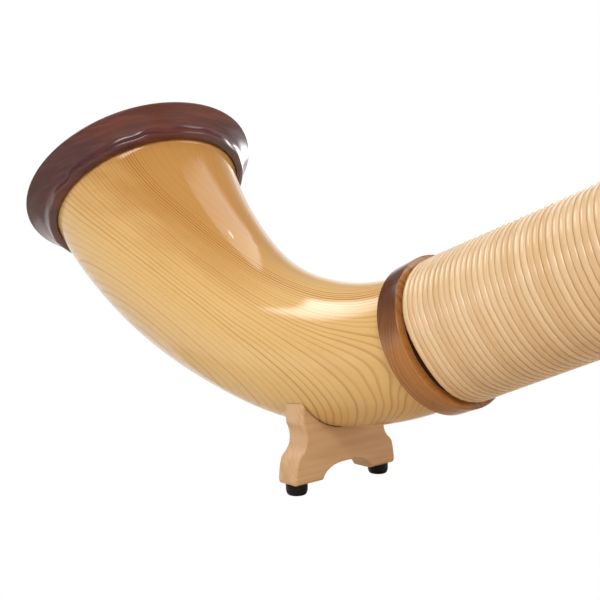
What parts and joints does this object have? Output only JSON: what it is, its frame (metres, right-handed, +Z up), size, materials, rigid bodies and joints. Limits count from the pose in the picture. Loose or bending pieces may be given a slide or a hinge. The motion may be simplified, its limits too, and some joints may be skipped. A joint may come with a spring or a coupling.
{
  "type": "alphorn",
  "caption": "Long wooden alpine horn in three sleeved sections, with an upturned bell, a dark rim ring, cane winding, a turned mouthpiece and a small carved foot on rubber pads.",
  "frame": {"origin": "middle of the footprint, on the floor the horn lies on", "axes": "+X along the horn from the bell to the mouthpiece, +Z up, the horn's plane of symmetry at Y = 0, the player's left hand side at -Y"},
  "size_m": [3.3228, 0.22, 0.3512],
  "materials": {
    "spruce": "clear gloss lacquer",
    "walnut": "clear gloss lacquer",
    "rosewood": "polished gloss",
    "maple": "oiled satin",
    "cane": "clear satin lacquer",
    "brass": "turned bright",
    "steel": "zinc plated",
    "rubber": "moulded matt",
    "beech": "plain"
  },
  "bodies": {
    "bell_section": {"bell_left_half": "spruce", "bell_right_half": "spruce", "bell_rim_ring": "rosewood", "collar_ring": "walnut", "foot_board": "maple", "rubber_foot_left": "rubber", "foot_screw_left": "steel", "foot_dowel_left": "beech", "rubber_foot_right": "rubber", "foot_screw_right": "steel", "foot_dowel_right": "beech", "bell_section_tube_left_half": "spruce", "bell_section_tube_right_half": "spruce", "cane_winding_at_collar": "cane", "cane_winding_bell_section": "cane", "bell_section_end_ring": "walnut", "lower_joint_socket": "brass"},
    "lower_joint_seals": {"lower_joint_front_seal": "rubber", "lower_joint_back_seal": "rubber"},
    "middle_section": {"middle_section_tube_left_half": "spruce", "middle_section_tube_right_half": "spruce", "middle_section_lower_ring": "walnut", "cane_winding_middle_section": "cane", "middle_section_upper_ring": "walnut", "lower_joint_tenon": "brass", "upper_joint_socket": "brass"},
    "upper_joint_seals": {"upper_joint_front_seal": "rubber", "upper_joint_back_seal": "rubber"},
    "hand_section": {"hand_section_tube_left_half": "spruce", "hand_section_tube_right_half": "spruce", "hand_section_lower_ring": "walnut", "cane_winding_hand_section": "cane", "hand_section_end_ring": "walnut", "upper_joint_tenon": "brass", "mouthpiece_receiver": "brass"},
    "mouthpiece": {"mouthpiece": "maple"}
  },
  "joints": [
    {"name": "lower_joint_slide", "type": "slide", "parent": "bell_section", "child": "lower_joint_seals", "axis": [0.9998, 0, -0.0186], "range_m": [0, 0.06]},
    {"name": "lower_joint_twist", "type": "hinge", "parent": "lower_joint_seals", "child": "middle_section", "pos_m": [-0.47007, 0, 0.05808], "axis": [0.9998, 0, -0.0186], "continuous": true},
    {"name": "upper_joint_slide", "type": "slide", "parent": "middle_section", "child": "upper_joint_seals", "axis": [0.9998, 0, -0.0186], "range_m": [0, 0.06]},
    {"name": "upper_joint_twist", "type": "hinge", "parent": "upper_joint_seals", "child": "hand_section", "pos_m": [0.60974, 0, 0.03799], "axis": [0.9998, 0, -0.0186], "continuous": true},
    {"name": "mouthpiece_slide", "type": "slide", "parent": "hand_section", "child": "mouthpiece", "axis": [0.9998, 0, -0.0186], "range_m": [0, 0.045]}
  ]
}
